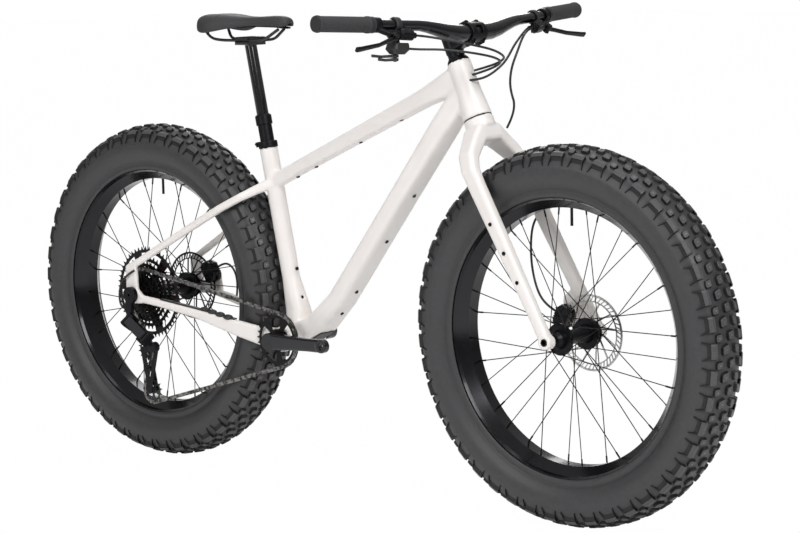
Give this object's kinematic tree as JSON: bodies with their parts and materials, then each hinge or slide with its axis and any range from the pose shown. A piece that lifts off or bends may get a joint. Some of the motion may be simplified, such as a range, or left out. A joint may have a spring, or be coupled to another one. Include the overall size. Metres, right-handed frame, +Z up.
{
  "type": "fat tire bike",
  "caption": "Rigid hardtail fat bike with carbon frame and fork, wide knobbed tyres, disc brakes, rear derailleur, riser bar and dropper post.",
  "frame": {"origin": "on the ground, midway between the two axles, in the bike's middle plane", "axes": "+X forward, +Y to the rider's left, +Z up"},
  "size_m": [1.998, 0.8376, 1.0564],
  "materials": {
    "pearl_carbon": "satin pearl over carbon",
    "black_rubber": "matt",
    "grip_rubber": "matt",
    "black_alloy": "black anodised",
    "black_steel": "black oxide",
    "bright_steel": "brushed",
    "pad_compound": "sintered",
    "black_plastic": "moulded",
    "saddle_skin": "synthetic leather over foam"
  },
  "bodies": {
    "frame": {"frame": "pearl_carbon", "headset_bearings": "bright_steel", "bottom_bracket_cups": "black_alloy", "seat_clamp": "black_alloy", "frame_bolts": "black_steel", "dropper_outer_tube": "black_alloy", "rear_axle": "black_alloy", "derailleur_mount": "black_alloy", "rear_caliper": "black_alloy", "rear_lines": "black_plastic", "frame_guards": "grip_rubber", "chain": "bright_steel"},
    "fork": {"fork": "pearl_carbon", "headset_spacers": "black_alloy", "stem": "black_alloy", "stem_faceplate": "black_alloy", "fork_bolts": "black_steel", "handlebar": "black_alloy", "grips": "grip_rubber", "bar_end_plugs": "black_plastic", "brake_lever_bodies": "black_alloy", "shifter_body": "black_plastic", "dropper_remote_body": "black_plastic", "front_caliper": "black_alloy", "front_axle": "black_alloy", "front_brake_hose": "black_plastic", "frame_cables": "black_plastic"},
    "front_wheel": {"front_tyre": "black_rubber", "front_rim": "black_alloy", "front_spokes": "black_steel", "front_hub": "black_alloy", "front_rotor": "bright_steel"},
    "rear_wheel": {"rear_tyre": "black_rubber", "rear_rim": "black_alloy", "rear_spokes": "black_steel", "rear_hub": "black_alloy", "rear_rotor": "black_steel"},
    "crank": {"right_crank_arm": "black_alloy", "left_crank_arm": "black_alloy", "crank_spindle": "black_steel", "chainring": "black_steel"},
    "cassette": {"cassette": "black_steel"},
    "derailleur_outer_link": {"derailleur_outer_link": "black_alloy"},
    "derailleur_inner_link": {"derailleur_inner_link": "black_alloy"},
    "derailleur_knuckle": {"derailleur_knuckle": "black_alloy"},
    "derailleur_cage": {"derailleur_cage": "black_steel"},
    "guide_pulley": {"guide_pulley": "black_plastic"},
    "tension_pulley": {"tension_pulley": "black_plastic"},
    "right_brake_lever": {"right_brake_lever": "black_alloy"},
    "left_brake_lever": {"left_brake_lever": "black_alloy"},
    "shift_thumb_lever": {"shift_thumb_lever": "black_plastic"},
    "shift_release_lever": {"shift_release_lever": "black_plastic"},
    "dropper_lever": {"dropper_lever": "black_plastic"},
    "front_pad_inner": {"front_pad_inner": "pad_compound"},
    "front_pad_outer": {"front_pad_outer": "pad_compound"},
    "rear_pad_inner": {"rear_pad_inner": "pad_compound"},
    "rear_pad_outer": {"rear_pad_outer": "pad_compound"},
    "saddle": {"dropper_stanchion": "black_alloy", "saddle_base": "black_plastic", "saddle_cover": "saddle_skin"}
  },
  "joints": [
    {"name": "steering", "type": "hinge", "parent": "frame", "child": "fork", "pos_m": [0.36314, 0, 0.8299], "axis": [-0.3987, 0, 0.9171], "range_deg": [-60, 60], "deforming": ["frame_cables"]},
    {"name": "front_wheel_spin", "type": "hinge", "parent": "fork", "child": "front_wheel", "pos_m": [0.606, 0, 0.393], "axis": [0, 1, 0], "continuous": true},
    {"name": "rear_wheel_spin", "type": "hinge", "parent": "frame", "child": "rear_wheel", "pos_m": [-0.606, 0, 0.393], "axis": [0, 1, 0], "continuous": true},
    {"name": "crank_spin", "type": "hinge", "parent": "frame", "child": "crank", "pos_m": [-0.17, 0, 0.322], "axis": [0, 1, 0], "continuous": true, "deforming": ["chain"]},
    {"name": "cassette_spin", "type": "hinge", "parent": "frame", "child": "cassette", "pos_m": [-0.606, 0, 0.393], "axis": [0, 1, 0], "continuous": true, "deforming": ["chain"]},
    {"name": "derailleur_shift", "type": "hinge", "parent": "frame", "child": "derailleur_outer_link", "pos_m": [-0.612, -0.121, 0.334], "axis": [0.5029, 0.4934, 0.7097], "range_deg": [-31, 18], "stiffness_Nm_per_rad": 2, "deforming": ["chain"]},
    {"name": "derailleur_inner_pivot", "type": "hinge", "parent": "frame", "child": "derailleur_inner_link", "pos_m": [-0.612, -0.10704, 0.3243], "axis": [0.5029, 0.4934, 0.7097], "range_deg": [-31, 18], "deforming": ["chain"]},
    {"name": "derailleur_knuckle_pivot", "type": "hinge", "parent": "derailleur_outer_link", "child": "derailleur_knuckle", "pos_m": [-0.57209, -0.11127, 0.29895], "axis": [0.5029, 0.4934, 0.7097], "range_deg": [-18, 31], "deforming": ["chain"]},
    {"name": "derailleur_cage_pivot", "type": "hinge", "parent": "derailleur_knuckle", "child": "derailleur_cage", "pos_m": [-0.558, -0.085, 0.271], "axis": [0, 1, 0], "range_deg": [-25, 10], "stiffness_Nm_per_rad": 1.2, "deforming": ["chain"]},
    {"name": "guide_pulley_spin", "type": "hinge", "parent": "derailleur_cage", "child": "guide_pulley", "pos_m": [-0.606, -0.0715, 0.259], "axis": [0, 1, 0], "continuous": true, "deforming": ["chain"]},
    {"name": "tension_pulley_spin", "type": "hinge", "parent": "derailleur_cage", "child": "tension_pulley", "pos_m": [-0.586, -0.0715, 0.16306], "axis": [0, 1, 0], "continuous": true, "deforming": ["chain"]},
    {"name": "right_brake_pull", "type": "hinge", "parent": "fork", "child": "right_brake_lever", "pos_m": [0.35631, -0.24534, 1.0054], "axis": [-0.6068, 0.065, -0.7922], "range_deg": [0, 16], "stiffness_Nm_per_rad": 1.5, "springref_deg": -2.86},
    {"name": "left_brake_pull", "type": "hinge", "parent": "fork", "child": "left_brake_lever", "pos_m": [0.35631, 0.24534, 1.0054], "axis": [0.6068, 0.065, 0.7922], "range_deg": [0, 16], "stiffness_Nm_per_rad": 1.5, "springref_deg": -2.86},
    {"name": "shift_thumb_push", "type": "hinge", "parent": "fork", "child": "shift_thumb_lever", "pos_m": [0.33612, -0.22313, 0.97359], "axis": [0, 0.0491, 0.9988], "range_deg": [0, 25], "stiffness_Nm_per_rad": 0.8, "springref_deg": -2.86},
    {"name": "shift_release_push", "type": "hinge", "parent": "fork", "child": "shift_release_lever", "pos_m": [0.33612, -0.22313, 0.97359], "axis": [0, 0.0491, 0.9988], "range_deg": [0, 12], "stiffness_Nm_per_rad": 0.8, "springref_deg": -2.86},
    {"name": "dropper_lever_push", "type": "hinge", "parent": "fork", "child": "dropper_lever", "pos_m": [0.33544, 0.22554, 1.00475], "axis": [0, 0.0491, -0.9988], "range_deg": [0, 30], "stiffness_Nm_per_rad": 0.6, "springref_deg": -2.86},
    {"name": "dropper_drop", "type": "slide", "parent": "frame", "child": "saddle", "axis": [0.2045, 0, -0.9789], "range_m": [0, 0.15], "stiffness_N_per_m": 150, "springref_m": -0.4},
    {"name": "front_pad_inner_press", "type": "slide", "parent": "fork", "child": "front_pad_inner", "axis": [0, 1, 0], "range_m": [0, 0.00035]},
    {"name": "front_pad_outer_press", "type": "slide", "parent": "fork", "child": "front_pad_outer", "axis": [0, -1, 0], "range_m": [0, 0.00035]},
    {"name": "rear_pad_inner_press", "type": "slide", "parent": "frame", "child": "rear_pad_inner", "axis": [0, 1, 0], "range_m": [0, 0.00035]},
    {"name": "rear_pad_outer_press", "type": "slide", "parent": "frame", "child": "rear_pad_outer", "axis": [0, -1, 0], "range_m": [0, 0.00035]}
  ],
  "couplings": [
    {"joint": "cassette_spin", "follows": "crank_spin", "ratio": 1.0714},
    {"joint": "guide_pulley_spin", "follows": "crank_spin", "ratio": -2.5},
    {"joint": "tension_pulley_spin", "follows": "crank_spin", "ratio": 2.1429},
    {"joint": "derailleur_inner_pivot", "follows": "derailleur_shift", "ratio": 1},
    {"joint": "derailleur_knuckle_pivot", "follows": "derailleur_shift", "ratio": -1},
    {"joint": "front_pad_inner_press", "follows": "left_brake_pull", "m_per_rad": 0.00125},
    {"joint": "front_pad_outer_press", "follows": "left_brake_pull", "m_per_rad": 0.00125},
    {"joint": "rear_pad_inner_press", "follows": "right_brake_pull", "m_per_rad": 0.00125},
    {"joint": "rear_pad_outer_press", "follows": "right_brake_pull", "m_per_rad": 0.00125}
  ]
}
